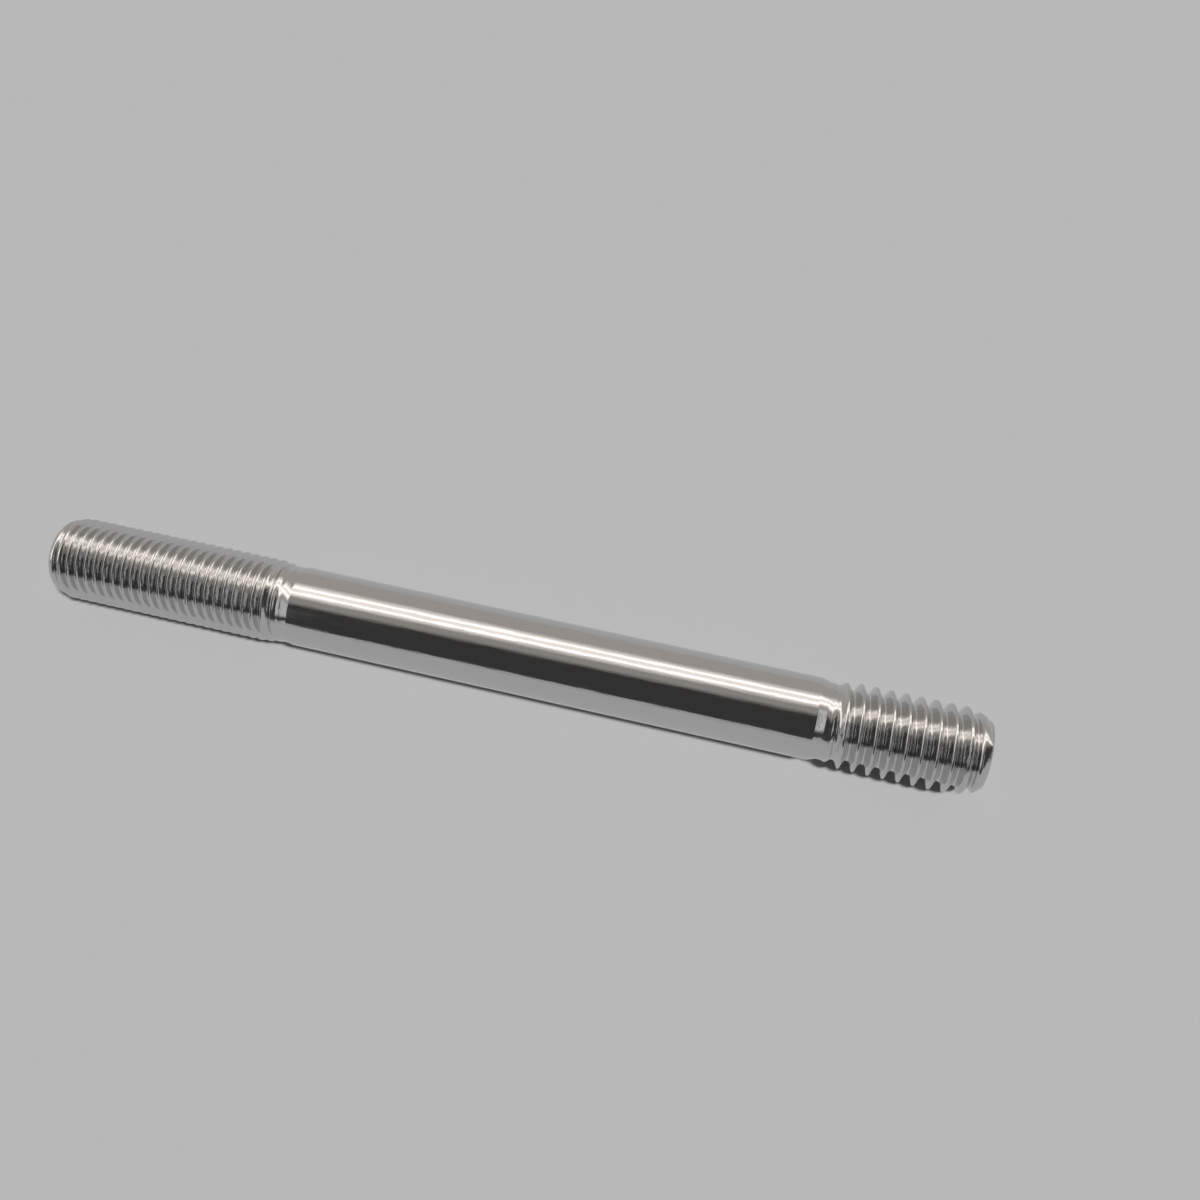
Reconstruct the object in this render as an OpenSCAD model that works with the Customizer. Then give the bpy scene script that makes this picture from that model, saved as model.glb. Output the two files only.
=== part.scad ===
// Double-ended stud bolt, 7/16 inch, turned and thread-rolled from one bar.
// Its nut end has the fine right-hand thread and its tap end the coarse one.
// It lies on the plane z = 0 with its axis along X, and its nut end points to -X.

/* [Stud] */
// Length from end face to end face, 4 3/4 inch
stud_length = 120.65; // [95:0.05:250]
// Diameter of the plain shank
shank_d = 10.25; // [9.5:0.05:10.6]
// Diameter over the crests of both threads
thread_d = 10.75; // [10.65:0.01:12.4]

/* [Nut end] */
// Pitch of the fine thread, 20 threads to the inch
nut_pitch = 1.27; // [1:0.01:1.6]
// Length of the fine thread, from the end face to its neck
nut_thread_length = 32.3; // [15:0.1:45]
// Length of the hollow flare from the fine thread's neck up to the shank
nut_flare_length = 1.1; // [0.4:0.05:2]
// Depth of the fine thread's neck below the shank
nut_neck_depth = 0.15; // [0.1:0.05:0.5]
// Pitches over which the fine groove rises out of the metal before the neck
nut_runout = 2.2; // [0.5:0.1:3]
// Length of the fine end's steep bevel along the axis
nut_bevel_length = 0.5; // [0.2:0.05:1]
// Length from the fine end's face to its first full crest
nut_lead_in_length = 2.3; // [1.2:0.1:5]

/* [Tap end] */
// Pitch of the coarse thread, 14 threads to the inch
tap_pitch = 1.814; // [1.3:0.001:2.2]
// Length of the coarse thread, from the end face to its neck
tap_thread_length = 19.05; // [12:0.05:40]
// Length of the plain neck between the coarse thread and the cone
tap_neck_length = 0.45; // [0.2:0.05:3]
// Length of the cone from the shank down to the neck
tap_cone_length = 1.15; // [0.4:0.05:4]
// Depth of the coarse thread's neck below the shank
tap_neck_depth = 0.35; // [0.1:0.05:0.6]
// Pitches over which the coarse groove rises out of the metal before the neck
tap_runout = 1.3; // [0.5:0.1:3]
// Length of the coarse end's steep bevel along the axis
tap_bevel_length = 0.8; // [0.2:0.05:1.2]
// Length from the coarse end's face to its first full crest
tap_lead_in_length = 3; // [1.5:0.1:5]

/* [End faces] */
// Diameter of the flat end faces
face_d = 8.2; // [6:0.1:9.2]
// Diameter at which the steep bevel turns into the gentle lead-in
bevel_d = 9.5; // [9.2:0.1:10.4]

/* [Thread form] */
// Depth of the thread as a share of its pitch
thread_depth_share = 0.613; // [0.5:0.001:0.65]
// Width of the crest as a share of the pitch
crest_share = 0.125; // [0.08:0.005:0.2]
// Angle between the two flanks of a groove
thread_angle = 60; // [50:1:62]

/* [Hidden] */
// The thread's grid has this many columns round the axis and rows across a pitch
columns = 30;
rows = 4;
// The run-out stops this much inside the neck that it meets
neck_step = 0.04;
// A grid point this close to the bevel's edge or the neck, in pitches, is drawn onto it
snap_share = 0.025;
// Straight pieces in the section of the hollow flare
flare_steps = 6;
shank_r = shank_d / 2;
thread_r = thread_d / 2;
face_r = face_d / 2;
bevel_r = bevel_d / 2;
nut_neck_r = shank_r - nut_neck_depth;
tap_neck_r = shank_r - tap_neck_depth;
half_length = stud_length / 2;
$fn = 120;

// Places of the four corners of the thread's section across one pitch, as shares
// of it: crest start, crest end, root start and root end
flank_share = thread_depth_share * tan(thread_angle / 2);
corners = [0, crest_share, crest_share + flank_share, 1 - flank_share];

// How far the thread's surface lies below its crest, from 0 to 1, at a share of the pitch
function groove(share) = lookup(share - floor(share), [
    [corners[0], 0], [corners[1], 0], [corners[2], 1], [corners[3], 1], [1, 0]]);

// Share of the full thread that is left at a distance from the neck
function depth_left(to_neck, pitch, runout) = min(1, to_neck / (runout * pitch));

// Distance along the axis, in pitches, of a grid point
function turns(column, row) =
    floor(row / rows) - 1 + corners[row % rows] + column / columns;

function ring_point(column, r, z) =
    let(angle = 360 * column / columns) [r * cos(angle), r * sin(angle), z];

// One threaded end: the end face at z = 0, the thread above it and the neck at z = length.
// Its surface is a grid that climbs with the helix, cut off level at the bevel and the neck.
module threaded_end(pitch, length, neck_r, runout, bevel_length, lead_in_length) {
    last_row = rows * (ceil(length / pitch) + 1);
    grid_size = columns * (last_row + 1);
    face_ring = grid_size;
    bevel_ring = face_ring + columns;
    neck_ring = bevel_ring + columns;

    // Radius of the bar at a distance from the end face, before its thread is rolled
    function blank_r(z) = lookup(z, [
        [0, face_r], [bevel_length, bevel_r], [lead_in_length, thread_r]]);

    // Radius of the thread's surface at a distance z from the end face
    function surface_r(z, depth_share) =
        let(full_r = min(blank_r(z), thread_r - depth_share * thread_depth_share * pitch))
        neck_r + (full_r - neck_r) * depth_left(length - z, pitch, runout);

    // Number of a grid point. A point past the bevel or the neck is the one on its ring,
    // and the column after the last is the first one, a turn higher.
    function id(column, row) =
        column == columns ? id(0, row + rows) :
        let(z = pitch * turns(column, row), snap = snap_share * pitch)
        z <= bevel_length + snap ? bevel_ring + column :
        z >= length - snap ? neck_ring + column :
        column * (last_row + 1) + row;

    grid = [for (column = [0 : columns - 1], row = [0 : last_row])
        let(z = min(length, max(bevel_length, pitch * turns(column, row))))
        ring_point(column, surface_r(z, groove(corners[row % rows])), z)];
    face_points = [for (column = [0 : columns - 1]) ring_point(column, face_r, 0)];
    bevel_points = [for (column = [0 : columns - 1])
        ring_point(column, surface_r(bevel_length,
            groove(bevel_length / pitch - column / columns)), bevel_length)];
    neck_points = [for (column = [0 : columns - 1]) ring_point(column, neck_r, length)];

    // The two triangles of a grid cell, without those that the cut-off has closed up
    function cell(a, b, c, d) = [
        if (a != d && d != c && a != c) [a, d, c],
        if (a != c && c != b && a != b) [a, c, b]];

    thread_faces = [for (column = [0 : columns - 1], row = [0 : last_row - 1])
        each cell(id(column, row), id(column + 1, row), id(column + 1, row + 1),
            id(column, row + 1))];
    bevel_faces = [for (column = [0 : columns - 1])
        let(next = (column + 1) % columns)
        each cell(face_ring + column, face_ring + next, bevel_ring + next,
            bevel_ring + column)];
    face_cap = [for (column = [0 : columns - 1]) face_ring + column];
    neck_cap = [for (column = [columns - 1 : -1 : 0]) neck_ring + column];

    polyhedron(
        points = concat(grid, face_points, bevel_points, neck_points),
        faces = concat(thread_faces, bevel_faces, [face_cap, neck_cap]));
}

// The plain middle of the bar: a hollow flare rises from the fine thread's neck to the
// shank, and a cone falls from the shank to the coarse thread's neck
module shank() {
    low = nut_thread_length - half_length;
    high = half_length - tap_thread_length;
    // The flare's section is an arc that leaves the neck level and meets the shank at an edge
    flare_radius = (nut_flare_length ^ 2 + nut_neck_depth ^ 2) / (2 * nut_neck_depth);
    flare_angle = asin(nut_flare_length / flare_radius);
    flare = [for (step = [0 : flare_steps])
        let(angle = flare_angle * step / flare_steps)
        [nut_neck_r + flare_radius * (1 - cos(angle)), low + flare_radius * sin(angle)]];
    rotate_extrude()
        polygon(concat([[0, low]], flare, [
            [shank_r, high - tap_neck_length - tap_cone_length],
            [tap_neck_r, high - tap_neck_length],
            [tap_neck_r, high],
            [0, high]]));
}

module stud() {
    color("silver")
        translate([0, 0, thread_r])
            rotate([0, 90, 0]) {
                translate([0, 0, -half_length])
                    threaded_end(nut_pitch, nut_thread_length, nut_neck_r - neck_step,
                        nut_runout, nut_bevel_length, nut_lead_in_length);
                shank();
                translate([0, 0, half_length])
                    rotate([180, 0, 0])
                        threaded_end(tap_pitch, tap_thread_length, tap_neck_r - neck_step,
                            tap_runout, tap_bevel_length, tap_lead_in_length);
            }
}

stud();
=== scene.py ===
"""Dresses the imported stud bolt: rolled threads, a polished steel finish, a pale floor, light and camera."""
import math

import bpy
import numpy as np
from mathutils import Matrix, Vector


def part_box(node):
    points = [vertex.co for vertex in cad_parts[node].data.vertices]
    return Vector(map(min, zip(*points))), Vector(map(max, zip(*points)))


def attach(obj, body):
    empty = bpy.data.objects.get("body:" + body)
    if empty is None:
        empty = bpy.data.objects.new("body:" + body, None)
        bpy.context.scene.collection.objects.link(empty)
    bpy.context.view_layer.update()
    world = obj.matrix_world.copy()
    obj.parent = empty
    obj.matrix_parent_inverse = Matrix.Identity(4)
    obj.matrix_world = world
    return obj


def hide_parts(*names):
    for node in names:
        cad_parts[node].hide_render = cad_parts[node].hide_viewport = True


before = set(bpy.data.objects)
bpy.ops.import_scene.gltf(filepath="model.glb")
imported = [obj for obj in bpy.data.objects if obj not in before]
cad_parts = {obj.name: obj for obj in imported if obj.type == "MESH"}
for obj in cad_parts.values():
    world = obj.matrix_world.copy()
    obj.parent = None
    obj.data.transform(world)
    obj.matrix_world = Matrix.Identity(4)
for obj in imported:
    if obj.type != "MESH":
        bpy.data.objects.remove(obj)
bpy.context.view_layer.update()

# Sizes of the stud in millimetres, as in the part's source
MM = 0.001
THREAD_R = 5.375
SHANK_R = 5.125
FACE_R = 4.1
BEVEL_R = 4.75
NUT_PITCH = 1.27
NUT_THREAD_LENGTH = 32.3
NUT_FLARE_LENGTH = 1.1
NUT_NECK_DEPTH = 0.15
NUT_NECK_R = SHANK_R - NUT_NECK_DEPTH
NUT_RUNOUT = 2.2
NUT_BEVEL_LENGTH = 0.5
NUT_LEAD_IN_LENGTH = 2.3
TAP_PITCH = 1.814
TAP_THREAD_LENGTH = 19.05
TAP_NECK_LENGTH = 0.45
TAP_CONE_LENGTH = 1.15
TAP_NECK_DEPTH = 0.35
TAP_NECK_R = SHANK_R - TAP_NECK_DEPTH
TAP_RUNOUT = 1.3
TAP_BEVEL_LENGTH = 0.8
TAP_LEAD_IN_LENGTH = 3.0
THREAD_DEPTH_SHARE = 0.613
CREST_SHARE = 0.125

# The rolled thread's section, in pitches: round crests and roots, tangent to straight flanks
CREST_ROUND = 0.12
ROOT_ROUND = 0.133
FLANK_ANGLE = math.radians(30)
# Widths, in millimetres, over which the bevel and the lead-in are rounded into what follows
BEVEL_SOFTNESS = 0.3
LEAD_IN_SOFTNESS = 0.08
# The part's source counts its turns from -Z, a quarter turn before the +Y of this script
QUARTER_TURN = 0.25

# The stud's ends and the height of its axis, from the frame
LOW_CORNER, HIGH_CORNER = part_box("stud")
NUT_FACE_X = LOW_CORNER[0] / MM
TAP_FACE_X = HIGH_CORNER[0] / MM
AXIS_Z = (LOW_CORNER[2] + HIGH_CORNER[2]) / 2 / MM

# How finely the visual mesh is divided: columns round the bar, and rows across one pitch, which
# are counted from the crest's middle and lie closest on the round crest and root
COLUMNS = 128
SECTION_SHARES = (-0.108, -0.085, -0.06, -0.03, 0.0, 0.03, 0.06, 0.085, 0.108, 0.245, 0.38,
                  0.415, 0.455, 0.5, 0.545, 0.585, 0.62, 0.755)
COLUMN_ANGLES = np.arange(COLUMNS) * 2 * math.pi / COLUMNS
# A grid point this close to a ring, in pitches, is drawn onto it
SNAP_SHARE = 0.02


def soft_min(a, b, width):
    """The smaller of two values, with the corner between them rounded over a width."""
    overlap = np.maximum(width - np.abs(a - b), 0) / width
    return np.minimum(a, b) - overlap * overlap * width / 4


def arc_rise(radius, from_middle):
    """How far a round crest or root has turned away from its middle, up to its flank."""
    return radius - np.sqrt(np.maximum(radius ** 2 - from_middle ** 2, 0))


def groove(share):
    """Depth below the crest, in pitches, at a share of the pitch from the crest's middle."""
    from_crest = np.abs(share - np.round(share))
    from_root = 0.5 - from_crest
    crest_width = CREST_ROUND * math.cos(FLANK_ANGLE)
    root_width = ROOT_ROUND * math.cos(FLANK_ANGLE)
    flank = CREST_ROUND / 2 + (from_crest - crest_width) / math.tan(FLANK_ANGLE)
    root = THREAD_DEPTH_SHARE - arc_rise(ROOT_ROUND, from_root)
    return np.where(from_crest < crest_width, arc_rise(CREST_ROUND, from_crest),
                    np.where(from_root < root_width, root, flank))


def blank_radius(depth, bevel_length, lead_in_length):
    """Radius of the bar before rolling, at a distance from its end face."""
    bevel = FACE_R + (BEVEL_R - FACE_R) * depth / bevel_length
    lead = BEVEL_R + (THREAD_R - BEVEL_R) * (depth - bevel_length) / (lead_in_length - bevel_length)
    return soft_min(bevel, lead, BEVEL_SOFTNESS)


def thread_radius(x, angle, face_x, inward, pitch, length, neck_r, runout, bevel_length,
                  lead_in_length):
    """Radius of a threaded end at x and at an angle round the stud, right-hand about +X."""
    depth = (x - face_x) * inward
    turns = angle / (2 * math.pi) + QUARTER_TURN
    crest_share = (x - face_x) / pitch - inward * CREST_SHARE / 2 - turns
    full = soft_min(blank_radius(depth, bevel_length, lead_in_length),
                    THREAD_R - groove(crest_share) * pitch, LEAD_IN_SOFTNESS)
    left = np.clip((length - depth) / (runout * pitch), 0, 1)
    return neck_r + (full - neck_r) * left


def nut_radius(x, angle):
    """Radius of the fine thread at the nut end."""
    return thread_radius(x, angle, NUT_FACE_X, 1, NUT_PITCH, NUT_THREAD_LENGTH, NUT_NECK_R,
                         NUT_RUNOUT, NUT_BEVEL_LENGTH, NUT_LEAD_IN_LENGTH)


def tap_radius(x, angle):
    """Radius of the coarse thread at the tap end."""
    return thread_radius(x, angle, TAP_FACE_X, -1, TAP_PITCH, TAP_THREAD_LENGTH, TAP_NECK_R,
                         TAP_RUNOUT, TAP_BEVEL_LENGTH, TAP_LEAD_IN_LENGTH)


class StudMesh:
    """A closed skin round the X axis, grown from rings and helical grids from -X to +X."""

    def __init__(self):
        self.points = []
        self.faces = []
        self.count = 0
        self.last = None
        self.last_x = None

    def add_points(self, x, angle, radius):
        """Points given by their place along the axis, their angle and their radius."""
        first = self.count
        self.points.append(np.stack([x, radius * np.cos(angle), radius * np.sin(angle)], axis=-1))
        self.count += len(x)
        return np.arange(first, self.count)

    def cap(self, x):
        """The point in the middle of an end face."""
        return self.add_points(np.array([x]), np.array([0.0]), np.array([0.0]))[0]

    def ring(self, x, radius):
        """One level ring, joined to the one before. The radius is a number or a function."""
        xs = np.full(COLUMNS, float(x))
        radii = radius(xs, COLUMN_ANGLES) if callable(radius) else np.full(COLUMNS, float(radius))
        ids = self.add_points(xs, COLUMN_ANGLES, radii)
        if self.last is not None:
            self.join(self.last, np.roll(self.last, -1), np.roll(ids, -1), ids)
        self.last = ids
        self.last_x = x
        return ids

    def helix(self, end_x, pitch, crest_x, radius):
        """A grid that climbs with the thread, from the last ring to a new one at end_x."""
        start_ring = self.last
        start_x = self.last_x
        self.last = None
        end_ring = self.ring(end_x, radius)
        rows = len(SECTION_SHARES)
        turns = math.ceil((end_x - start_x) / pitch) + 3
        first_turn = math.floor((start_x - crest_x) / pitch) - 1
        whole_turns = np.arange(first_turn, first_turn + turns)
        shares = (whole_turns[:, None] + np.array(SECTION_SHARES)).ravel()
        climb = np.arange(COLUMNS) / COLUMNS
        xs = crest_x + pitch * (shares[None, :] + climb[:, None])
        angles = np.repeat(COLUMN_ANGLES[:, None], len(shares), axis=1)
        snap = pitch * SNAP_SHARE
        below = xs <= start_x + snap
        above = xs >= end_x - snap
        inside = ~below & ~above
        ids = np.where(below, start_ring[:, None], end_ring[:, None])
        ids[inside] = self.add_points(xs[inside], angles[inside], radius(xs[inside], angles[inside]))
        next_ids = np.roll(ids, -1, axis=0)
        next_ids[-1] = np.concatenate([ids[0, rows:], np.full(rows, end_ring[0])])
        self.join(ids[:, :-1].ravel(), next_ids[:, :-1].ravel(), next_ids[:, 1:].ravel(),
                  ids[:, 1:].ravel())

    def join(self, a, b, c, d):
        """Cells between four sets of points, without the corners that have closed up."""
        for corners in zip(a.tolist(), b.tolist(), c.tolist(), d.tolist()):
            face = [corner for i, corner in enumerate(corners) if corner != corners[i - 1]]
            if len(face) > 2 and len(set(face)) == len(face):
                self.faces.append(face)

    def fan(self, middle, ring, outward):
        """Triangles from the middle of an end face to its innermost ring."""
        for a, b in zip(ring.tolist(), np.roll(ring, -1).tolist()):
            self.faces.append([middle, b, a] if outward < 0 else [middle, a, b])

    def to_object(self, name):
        """The finished skin as a Blender object, lifted to the height of the stud's axis."""
        points = np.concatenate(self.points) + np.array([0.0, 0.0, AXIS_Z])
        mesh = bpy.data.meshes.new(name)
        mesh.from_pydata((points * MM).tolist(), [], self.faces)
        mesh.validate()
        mesh.update()
        mesh.shade_smooth()
        obj = bpy.data.objects.new(name, mesh)
        bpy.context.scene.collection.objects.link(obj)
        return obj


# Rings that draw the stud's plain stretches. Radii of the rings on an end face, as shares of it
FACE_RINGS = (0.55, 0.9, 0.97)
# Rings along the flare's arc, as shares of it, and straight pieces of the shank
FLARE_RINGS = (0.12, 0.25, 0.4, 0.55, 0.7, 0.84, 0.95)
SHANK_STEPS = 24
# Distances in millimetres of the rings that soften an edge, and how far each edge is taken off
RIM_DEPTH = 0.05
EDGE = 0.03
SUPPORT = 0.1
FLARE_EDGE_DROP = 0.003
CONE_EDGE_DROP = 0.004
NECK_EDGE_RISE = 0.01


def stud_mesh():
    """The whole stud from the nut end's face to the tap end's, as one closed mesh."""
    nut_neck_x = NUT_FACE_X + NUT_THREAD_LENGTH
    shank_start_x = nut_neck_x + NUT_FLARE_LENGTH
    tap_thread_x = TAP_FACE_X - TAP_THREAD_LENGTH
    tap_neck_x = tap_thread_x - TAP_NECK_LENGTH
    shank_end_x = tap_neck_x - TAP_CONE_LENGTH
    skin = StudMesh()
    middle = skin.cap(NUT_FACE_X)
    inner = skin.ring(NUT_FACE_X, FACE_R * FACE_RINGS[0])
    skin.fan(middle, inner, -1)
    for share in FACE_RINGS[1:]:
        skin.ring(NUT_FACE_X, FACE_R * share)
    skin.ring(NUT_FACE_X + RIM_DEPTH, nut_radius)
    crest_x = NUT_FACE_X + NUT_PITCH * (CREST_SHARE / 2 + QUARTER_TURN)
    skin.helix(nut_neck_x, NUT_PITCH, crest_x, nut_radius)
    flare_radius = (NUT_FLARE_LENGTH ** 2 + NUT_NECK_DEPTH ** 2) / (2 * NUT_NECK_DEPTH)
    flare_angle = math.asin(NUT_FLARE_LENGTH / flare_radius)
    for share in FLARE_RINGS:
        angle = flare_angle * share
        skin.ring(nut_neck_x + flare_radius * math.sin(angle),
                  NUT_NECK_R + flare_radius * (1 - math.cos(angle)))
    skin.ring(shank_start_x, SHANK_R - FLARE_EDGE_DROP)
    skin.ring(shank_start_x + EDGE, SHANK_R)
    skin.ring(shank_start_x + SUPPORT, SHANK_R)
    for step in range(1, SHANK_STEPS):
        skin.ring(shank_start_x + (shank_end_x - shank_start_x) * step / SHANK_STEPS, SHANK_R)
    skin.ring(shank_end_x - SUPPORT, SHANK_R)
    skin.ring(shank_end_x - EDGE, SHANK_R)
    skin.ring(shank_end_x, SHANK_R - CONE_EDGE_DROP)
    cone = (TAP_NECK_R - SHANK_R) / TAP_CONE_LENGTH
    skin.ring(shank_end_x + EDGE, SHANK_R + cone * EDGE)
    skin.ring(shank_end_x + SUPPORT, SHANK_R + cone * SUPPORT)
    skin.ring(tap_neck_x - SUPPORT, TAP_NECK_R - cone * SUPPORT)
    skin.ring(tap_neck_x, TAP_NECK_R + NECK_EDGE_RISE)
    skin.ring(tap_neck_x + SUPPORT, TAP_NECK_R)
    skin.ring(tap_thread_x, TAP_NECK_R)
    crest_x = TAP_FACE_X + TAP_PITCH * (-CREST_SHARE / 2 + QUARTER_TURN)
    skin.helix(TAP_FACE_X - RIM_DEPTH, TAP_PITCH, crest_x, tap_radius)
    for share in reversed(FACE_RINGS[1:]):
        skin.ring(TAP_FACE_X, FACE_R * share)
    inner = skin.ring(TAP_FACE_X, FACE_R * FACE_RINGS[0])
    middle = skin.cap(TAP_FACE_X)
    skin.fan(middle, inner, 1)
    return skin.to_object("stud_body")


def add_node(tree, kind, **inputs):
    """A shader node with some of its sockets set, by name."""
    made = tree.nodes.new(kind)
    for name, value in inputs.items():
        made.inputs[name.replace("_", " ")].default_value = value
    return made


def add_stretch(tree, source, scale):
    """Coordinates stretched by a scale, so that a noise is drawn out where the scale is small."""
    made = add_node(tree, "ShaderNodeMapping", Scale=scale)
    tree.links.new(source, made.inputs["Vector"])
    return made.outputs["Vector"]


def add_noise(tree, source, scale, detail, roughness):
    """A noise's grey at given coordinates."""
    made = add_node(tree, "ShaderNodeTexNoise", Scale=scale, Detail=detail, Roughness=roughness)
    tree.links.new(source, made.inputs["Vector"])
    return made.outputs["Fac"]


def add_ramp(tree, stops, scale):
    """A colour ramp from pairs of a place and a brightness or colour. Places are divided by scale."""
    ramp = add_node(tree, "ShaderNodeValToRGB")
    elements = ramp.color_ramp.elements
    elements.remove(elements[1])
    for number, (place, value) in enumerate(stops):
        element = elements[0] if number == 0 else elements.new(place / scale)
        element.position = place / scale
        element.color = (*value, 1) if isinstance(value, tuple) else (value, value, value, 1)
    return ramp


def add_map_range(tree, source, start, end):
    """The share of the way from start to end, clamped."""
    made = add_node(tree, "ShaderNodeMapRange")
    made.inputs["From Min"].default_value = start
    made.inputs["From Max"].default_value = end
    tree.links.new(source, made.inputs["Value"])
    return made.outputs["Result"]


def add_mix(tree, blend, factor, a, b):
    """Two colours joined. The factor is a number or an output."""
    made = add_node(tree, "ShaderNodeMix")
    made.data_type = "RGBA"
    made.blend_type = blend
    if isinstance(factor, float):
        made.inputs[0].default_value = factor
    else:
        tree.links.new(factor, made.inputs[0])
    tree.links.new(a, made.inputs[6])
    tree.links.new(b, made.inputs[7])
    return made.outputs[2]


def add_math(tree, operation, a, b):
    """Two values joined. The second one is a number or an output."""
    made = add_node(tree, "ShaderNodeMath")
    made.operation = operation
    tree.links.new(a, made.inputs[0])
    if isinstance(b, float):
        made.inputs[1].default_value = b
    else:
        tree.links.new(b, made.inputs[1])
    return made.outputs["Value"]


# The steel's colour, and how rough it is where it is most and least polished
STEEL_COLOUR = (0.64, 0.635, 0.63, 1)
MOST_POLISHED = 0.03
LEAST_POLISHED = 0.11
# How much rougher the rolled threads and the worn streaks are
ROLLED_ROUGHER = 0.04
WORN_ROUGHER = 0.1
# Share of the streaks' grey at which wear begins and is full
WEAR_START = 0.45
WEAR_FULL = 0.75
# Fineness of the grain round the bar, of the threads' speckle and of the streaks along the bar
GRAIN_SCALE = 5500.0
SPECKLE_SCALE = 3600.0
STREAK_SCALE = 1700.0
GRAIN_STRETCH = (1.0, 0.4, 0.4)
STREAK_STRETCH = (0.12, 1.0, 1.0)
# Depths of the bumps in metres, and the strength of the grain's
STREAK_DEPTH = 0.000012
GRAIN_DEPTH = 0.00002
GRAIN_STRENGTH = 0.2
# Share of the stud's length over which the shank's finish turns into the threads'
FINISH_EDGE = 0.01


def steel_material():
    """Polished stainless steel with a fine grain round the bar, and rougher rolled threads."""
    material = bpy.data.materials.new("polished_stainless_steel")
    material.use_nodes = True
    tree = material.node_tree
    shader = tree.nodes["Principled BSDF"]
    shader.inputs["Base Color"].default_value = STEEL_COLOUR
    shader.inputs["Metallic"].default_value = 1.0
    place = add_node(tree, "ShaderNodeTexCoord").outputs["Object"]
    split = add_node(tree, "ShaderNodeSeparateXYZ")
    tree.links.new(place, split.inputs["Vector"])
    along = add_map_range(tree, split.outputs["X"], NUT_FACE_X * MM, TAP_FACE_X * MM)
    length = TAP_FACE_X - NUT_FACE_X
    shank_start = (NUT_THREAD_LENGTH + NUT_FLARE_LENGTH) / length
    shank_end = 1 - (TAP_THREAD_LENGTH + TAP_NECK_LENGTH) / length
    ramp = add_ramp(tree, ((0.0, 1.0), (shank_start - FINISH_EDGE, 1.0), (shank_start, 0.0),
                           (shank_end - FINISH_EDGE, 0.0), (shank_end, 1.0)), 1.0)
    tree.links.new(along, ramp.inputs["Fac"])
    rolled = ramp.outputs["Color"]
    round_bar = add_stretch(tree, place, GRAIN_STRETCH)
    grain = add_noise(tree, round_bar, GRAIN_SCALE, 3.0, 0.6)
    speckle = add_noise(tree, round_bar, SPECKLE_SCALE, 2.0, 0.5)
    streaks = add_noise(tree, add_stretch(tree, place, STREAK_STRETCH), STREAK_SCALE, 3.0, 0.6)
    polish = add_node(tree, "ShaderNodeMapRange", To_Min=MOST_POLISHED, To_Max=LEAST_POLISHED)
    tree.links.new(grain, polish.inputs["Value"])
    wear = add_map_range(tree, streaks, WEAR_START, WEAR_FULL)
    rougher = add_math(tree, "ADD", add_math(tree, "MULTIPLY", rolled, ROLLED_ROUGHER),
                       add_math(tree, "MULTIPLY", wear, WORN_ROUGHER))
    roughness = add_math(tree, "ADD", rougher, polish.outputs["Result"])
    tree.links.new(roughness, shader.inputs["Roughness"])
    drawn = add_node(tree, "ShaderNodeBump", Distance=STREAK_DEPTH)
    fine = add_node(tree, "ShaderNodeBump", Strength=GRAIN_STRENGTH, Distance=GRAIN_DEPTH)
    coarse = add_node(tree, "ShaderNodeBump", Distance=GRAIN_DEPTH)
    tree.links.new(add_map_range(tree, rolled, 1.0, 0.0), drawn.inputs["Strength"])
    tree.links.new(rolled, coarse.inputs["Strength"])
    for height, bump in ((streaks, drawn), (grain, fine), (speckle, coarse)):
        tree.links.new(height, bump.inputs["Height"])
    tree.links.new(drawn.outputs["Normal"], fine.inputs["Normal"])
    tree.links.new(fine.outputs["Normal"], coarse.inputs["Normal"])
    tree.links.new(coarse.outputs["Normal"], shader.inputs["Normal"])
    return material


FLOOR_COLOUR = (0.47, 0.47, 0.475, 1)
# Half the floor's width in metres
FLOOR_HALF = 0.8


def floor_material():
    """A plain pale grey, the same to the camera and in the steel."""
    material = bpy.data.materials.new("pale_floor")
    material.use_nodes = True
    tree = material.node_tree
    tree.nodes.clear()
    grey = add_node(tree, "ShaderNodeBsdfDiffuse", Color=FLOOR_COLOUR)
    out = add_node(tree, "ShaderNodeOutputMaterial")
    tree.links.new(grey.outputs["BSDF"], out.inputs["Surface"])
    return material


def add_floor():
    """The flat floor that the stud lies on."""
    half = FLOOR_HALF
    mesh = bpy.data.meshes.new("floor")
    mesh.from_pydata([(-half, -half, 0), (half, -half, 0), (half, half, 0), (-half, half, 0)], [],
                     [(0, 1, 2, 3)])
    mesh.materials.append(floor_material())
    floor = bpy.data.objects.new("floor", mesh)
    bpy.context.scene.collection.objects.link(floor)


# A plain studio, in degrees from the front horizon over the top to the back: a low pale wall,
# a dark front, a dim ceiling, two soft strip lights with a glow round them, and a pale back wall
STUDIO_HEADING = 18.0
LOW_WALL_TOP = 6
LOW_WALL_EDGE = 2
DARK_FRONT_END = 70
CEILING_START = 80
CEILING_END = 92
STRIP_MIDDLES = (106, 122)
STRIP_HALF_WIDTH = 2
STRIP_EDGE = 1
BACK_WALL_START = 138
BACK_HORIZON = 180
# How bright each of them is
LOW_WALL = 0.45
DARK_FRONT = 0.05
CEILING = 0.35
STRIP = 2.2
GLOW = 1.2
BACK_WALL = 0.45
# The light turns from cool to warm between these angles
TINT_TURN = (40, 70)
COOL = (0.95, 0.97, 1.0)
WARM = (1.0, 0.94, 0.88)
# Two windows in the dark front above a sill: where each begins and ends along the stud, from -1
# at the far left to 1 at the far right, and how bright it is
WINDOWS = ((-0.85, -0.45, 0.6), (0.5, 0.6, 0.7))
WINDOW_EDGE = 0.03
SILL_START = 20
SILL_END = 32
# The share of the floor's light that comes evenly from all round. The rest is the lamp's.
EVEN_LIGHT = 0.12


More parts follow.
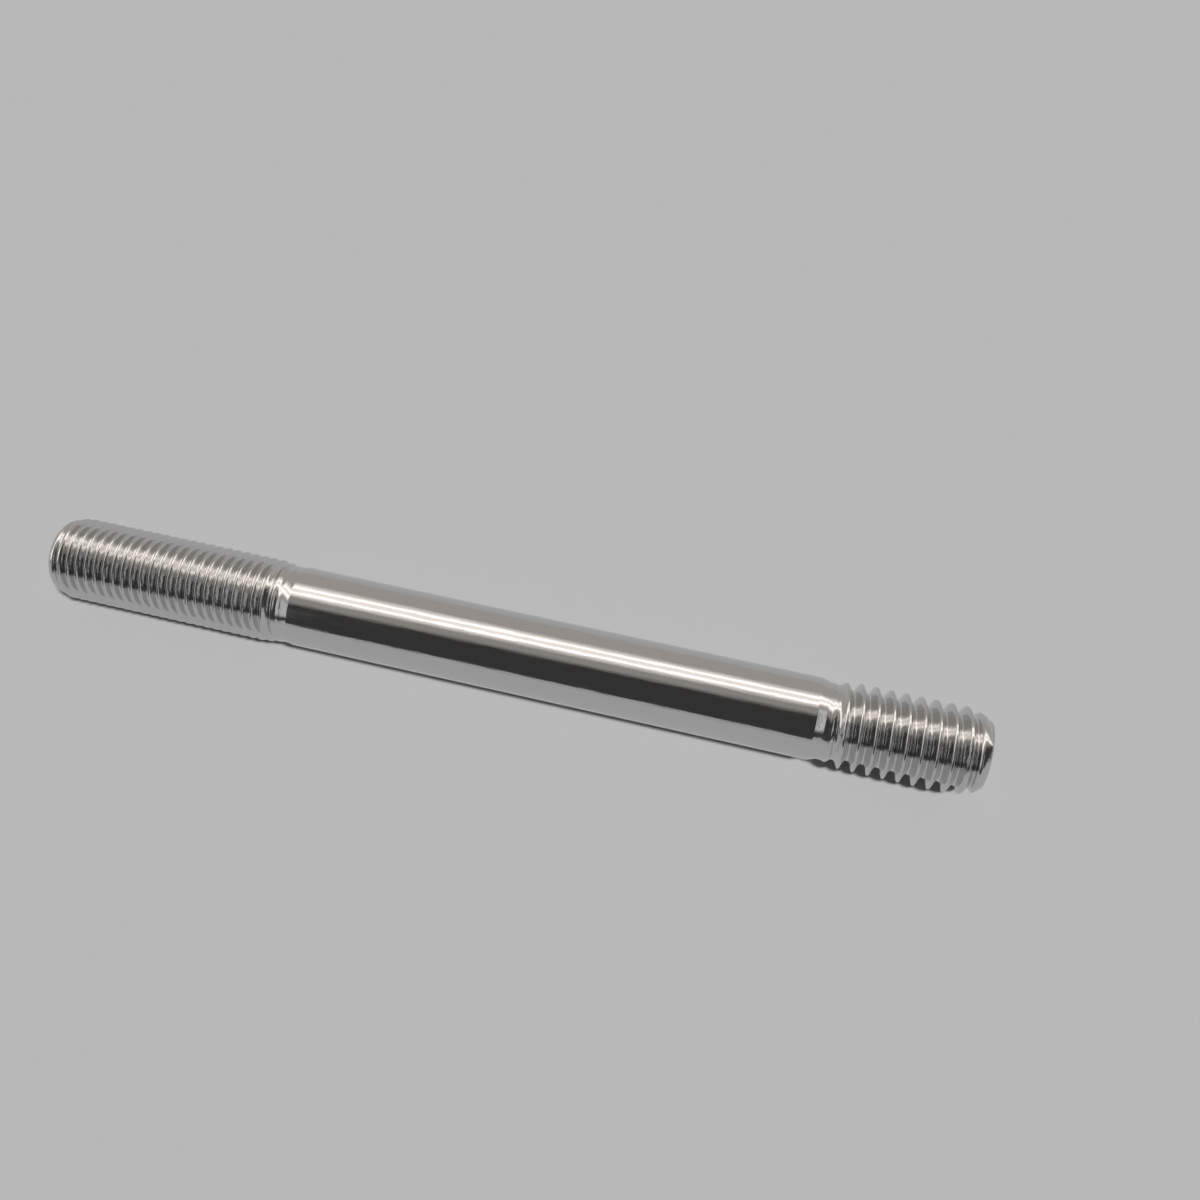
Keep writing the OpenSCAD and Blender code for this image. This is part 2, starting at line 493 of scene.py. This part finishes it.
def studio_stops():
    """The studio's brightness by angle, as a share of its strip lights."""
    stops = [(0, LOW_WALL), (LOW_WALL_TOP, LOW_WALL), (LOW_WALL_TOP + LOW_WALL_EDGE, DARK_FRONT),
             (DARK_FRONT_END, DARK_FRONT), (CEILING_START, CEILING), (CEILING_END, CEILING)]
    for middle in STRIP_MIDDLES:
        stops += [(middle - STRIP_HALF_WIDTH - STRIP_EDGE, GLOW), (middle - STRIP_HALF_WIDTH, STRIP),
                  (middle + STRIP_HALF_WIDTH, STRIP), (middle + STRIP_HALF_WIDTH + STRIP_EDGE, GLOW)]
    stops += [(BACK_WALL_START, BACK_WALL), (BACK_HORIZON, BACK_WALL)]
    return tuple((angle, level / STRIP) for angle, level in stops)


def window_stops():
    """The windows' brightness along the stud, from 0 to 1, as a share of the strip lights."""
    stops = []
    for start, end, level in WINDOWS:
        stops += [(start - WINDOW_EDGE, 0.0), (start, level), (end, level), (end + WINDOW_EDGE, 0.0)]
    return tuple(((along + 1) / 2, level / STRIP) for along, level in stops)


def add_room(tree):
    """The studio's colour in each direction, as a share of its strip lights."""
    place = add_node(tree, "ShaderNodeTexCoord").outputs["Generated"]
    turn = add_node(tree, "ShaderNodeMapping", Rotation=(0, 0, math.radians(-STUDIO_HEADING)))
    tree.links.new(place, turn.inputs["Vector"])
    split = add_node(tree, "ShaderNodeSeparateXYZ")
    tree.links.new(turn.outputs["Vector"], split.inputs["Vector"])
    front = add_math(tree, "MULTIPLY", split.outputs["Y"], -1.0)
    angle = add_math(tree, "ARCTAN2", split.outputs["Z"], front)
    share = add_math(tree, "DIVIDE", angle, math.pi)
    room = add_ramp(tree, studio_stops(), BACK_HORIZON)
    tint = add_ramp(tree, tuple(zip(TINT_TURN, (COOL, WARM))), BACK_HORIZON)
    for ramp in (room, tint):
        tree.links.new(share, ramp.inputs["Fac"])
    tinted = add_mix(tree, "MULTIPLY", 1.0, room.outputs["Color"], tint.outputs["Color"])
    unturned = add_node(tree, "ShaderNodeSeparateXYZ")
    tree.links.new(place, unturned.inputs["Vector"])
    across = add_map_range(tree, unturned.outputs["X"], -1.0, 1.0)
    windows = add_ramp(tree, window_stops(), 1.0)
    tree.links.new(across, windows.inputs["Fac"])
    above_sill = add_map_range(tree, share, SILL_START / BACK_HORIZON, SILL_END / BACK_HORIZON)
    in_front = add_map_range(tree, share, CEILING_END / BACK_HORIZON, CEILING_START / BACK_HORIZON)
    glazed = add_math(tree, "MULTIPLY", above_sill, in_front)
    return add_mix(tree, "LIGHTEN", glazed, tinted, windows.outputs["Color"])


def add_world():
    """Even light for the floor, and the studio, which the camera and the steel see alike."""
    world = bpy.data.worlds.new("studio")
    bpy.context.scene.world = world
    world.use_nodes = True
    tree = world.node_tree
    tree.nodes.clear()
    studio = add_node(tree, "ShaderNodeBackground", Strength=STRIP)
    tree.links.new(add_room(tree), studio.inputs["Color"])
    even = add_node(tree, "ShaderNodeBackground", Color=(1, 1, 1, 1), Strength=EVEN_LIGHT)
    path = add_node(tree, "ShaderNodeLightPath")
    seen = add_math(tree, "MAXIMUM", path.outputs["Is Camera Ray"], path.outputs["Is Glossy Ray"])
    seen = add_math(tree, "MAXIMUM", seen, path.outputs["Is Transmission Ray"])
    lit = add_node(tree, "ShaderNodeMixShader")
    tree.links.new(seen, lit.inputs["Fac"])
    tree.links.new(even.outputs["Background"], lit.inputs[1])
    tree.links.new(studio.outputs["Background"], lit.inputs[2])
    out = add_node(tree, "ShaderNodeOutputWorld")
    tree.links.new(lit.outputs["Shader"], out.inputs["Surface"])


# The lamp's height and its width in the sky in degrees, and how far it stands off to the right
# for each unit of height
LAMP_ELEVATION = 74.0
LAMP_WIDTH = 6.0
LAMP_ASIDE = 0.5
# How bright the lamp and the even light make a white floor together
FLOOR_LIGHT = 1.02


def add_lamp():
    """A soft lamp on the camera's side, so that the shadow falls behind the stud. It stands off
    to the right, so that the thread's crests keep it out of the grooves. The steel doesn't
    mirror it."""
    lamp_data = bpy.data.lights.new("soft_lamp", "SUN")
    lamp_data.angle = math.radians(LAMP_WIDTH)
    towards = np.array([LAMP_ASIDE, -1 / math.tan(math.radians(LAMP_ELEVATION)), 1.0])
    towards /= np.linalg.norm(towards)
    lamp_data.energy = FLOOR_LIGHT * math.pi * (1 - EVEN_LIGHT) / towards[2]
    lamp = bpy.data.objects.new("soft_lamp", lamp_data)
    lamp.rotation_mode = "QUATERNION"
    lamp.rotation_quaternion = Vector(towards.tolist()).to_track_quat("Z", "Y")
    lamp.visible_glossy = False
    bpy.context.scene.collection.objects.link(lamp)


# The camera's place in metres, its directions in degrees and its focal length in pixels of an
# image 1200 pixels wide
CAMERA_PLACE = (0.02929, -0.0583, 0.1362)
CAMERA_HEADING = -15.56
CAMERA_PITCH = 61.59
CAMERA_ROLL = -1.85
FOCAL_PIXELS = 1150
IMAGE_PIXELS = 1200
SENSOR_WIDTH = 36


def add_camera():
    """The photograph's view: from above and a little to the right, close to the stud."""
    camera_data = bpy.data.cameras.new("camera")
    camera_data.sensor_width = SENSOR_WIDTH
    camera_data.lens = SENSOR_WIDTH * FOCAL_PIXELS / IMAGE_PIXELS
    camera_data.clip_start = 0.01
    camera = bpy.data.objects.new("camera", camera_data)
    bpy.context.scene.collection.objects.link(camera)
    heading = math.radians(CAMERA_HEADING)
    pitch = math.radians(CAMERA_PITCH)
    roll = math.radians(CAMERA_ROLL)
    forward = np.array([math.sin(heading) * math.cos(pitch), math.cos(heading) * math.cos(pitch),
                        -math.sin(pitch)])
    level_right = np.cross(forward, [0, 0, 1])
    level_right /= np.linalg.norm(level_right)
    level_up = np.cross(level_right, forward)
    right = math.cos(roll) * level_right + math.sin(roll) * level_up
    up = np.cross(right, forward)
    matrix = np.eye(4)
    matrix[:3, 0] = right
    matrix[:3, 1] = up
    matrix[:3, 2] = -forward
    matrix[:3, 3] = CAMERA_PLACE
    camera.matrix_world = Matrix(matrix.tolist())
    bpy.context.scene.camera = camera


stud = stud_mesh()
stud.data.materials.append(steel_material())
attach(stud, "root")
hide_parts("stud")
add_floor()
add_world()
add_lamp()
add_camera()
bpy.context.scene.view_settings.view_transform = "Standard"
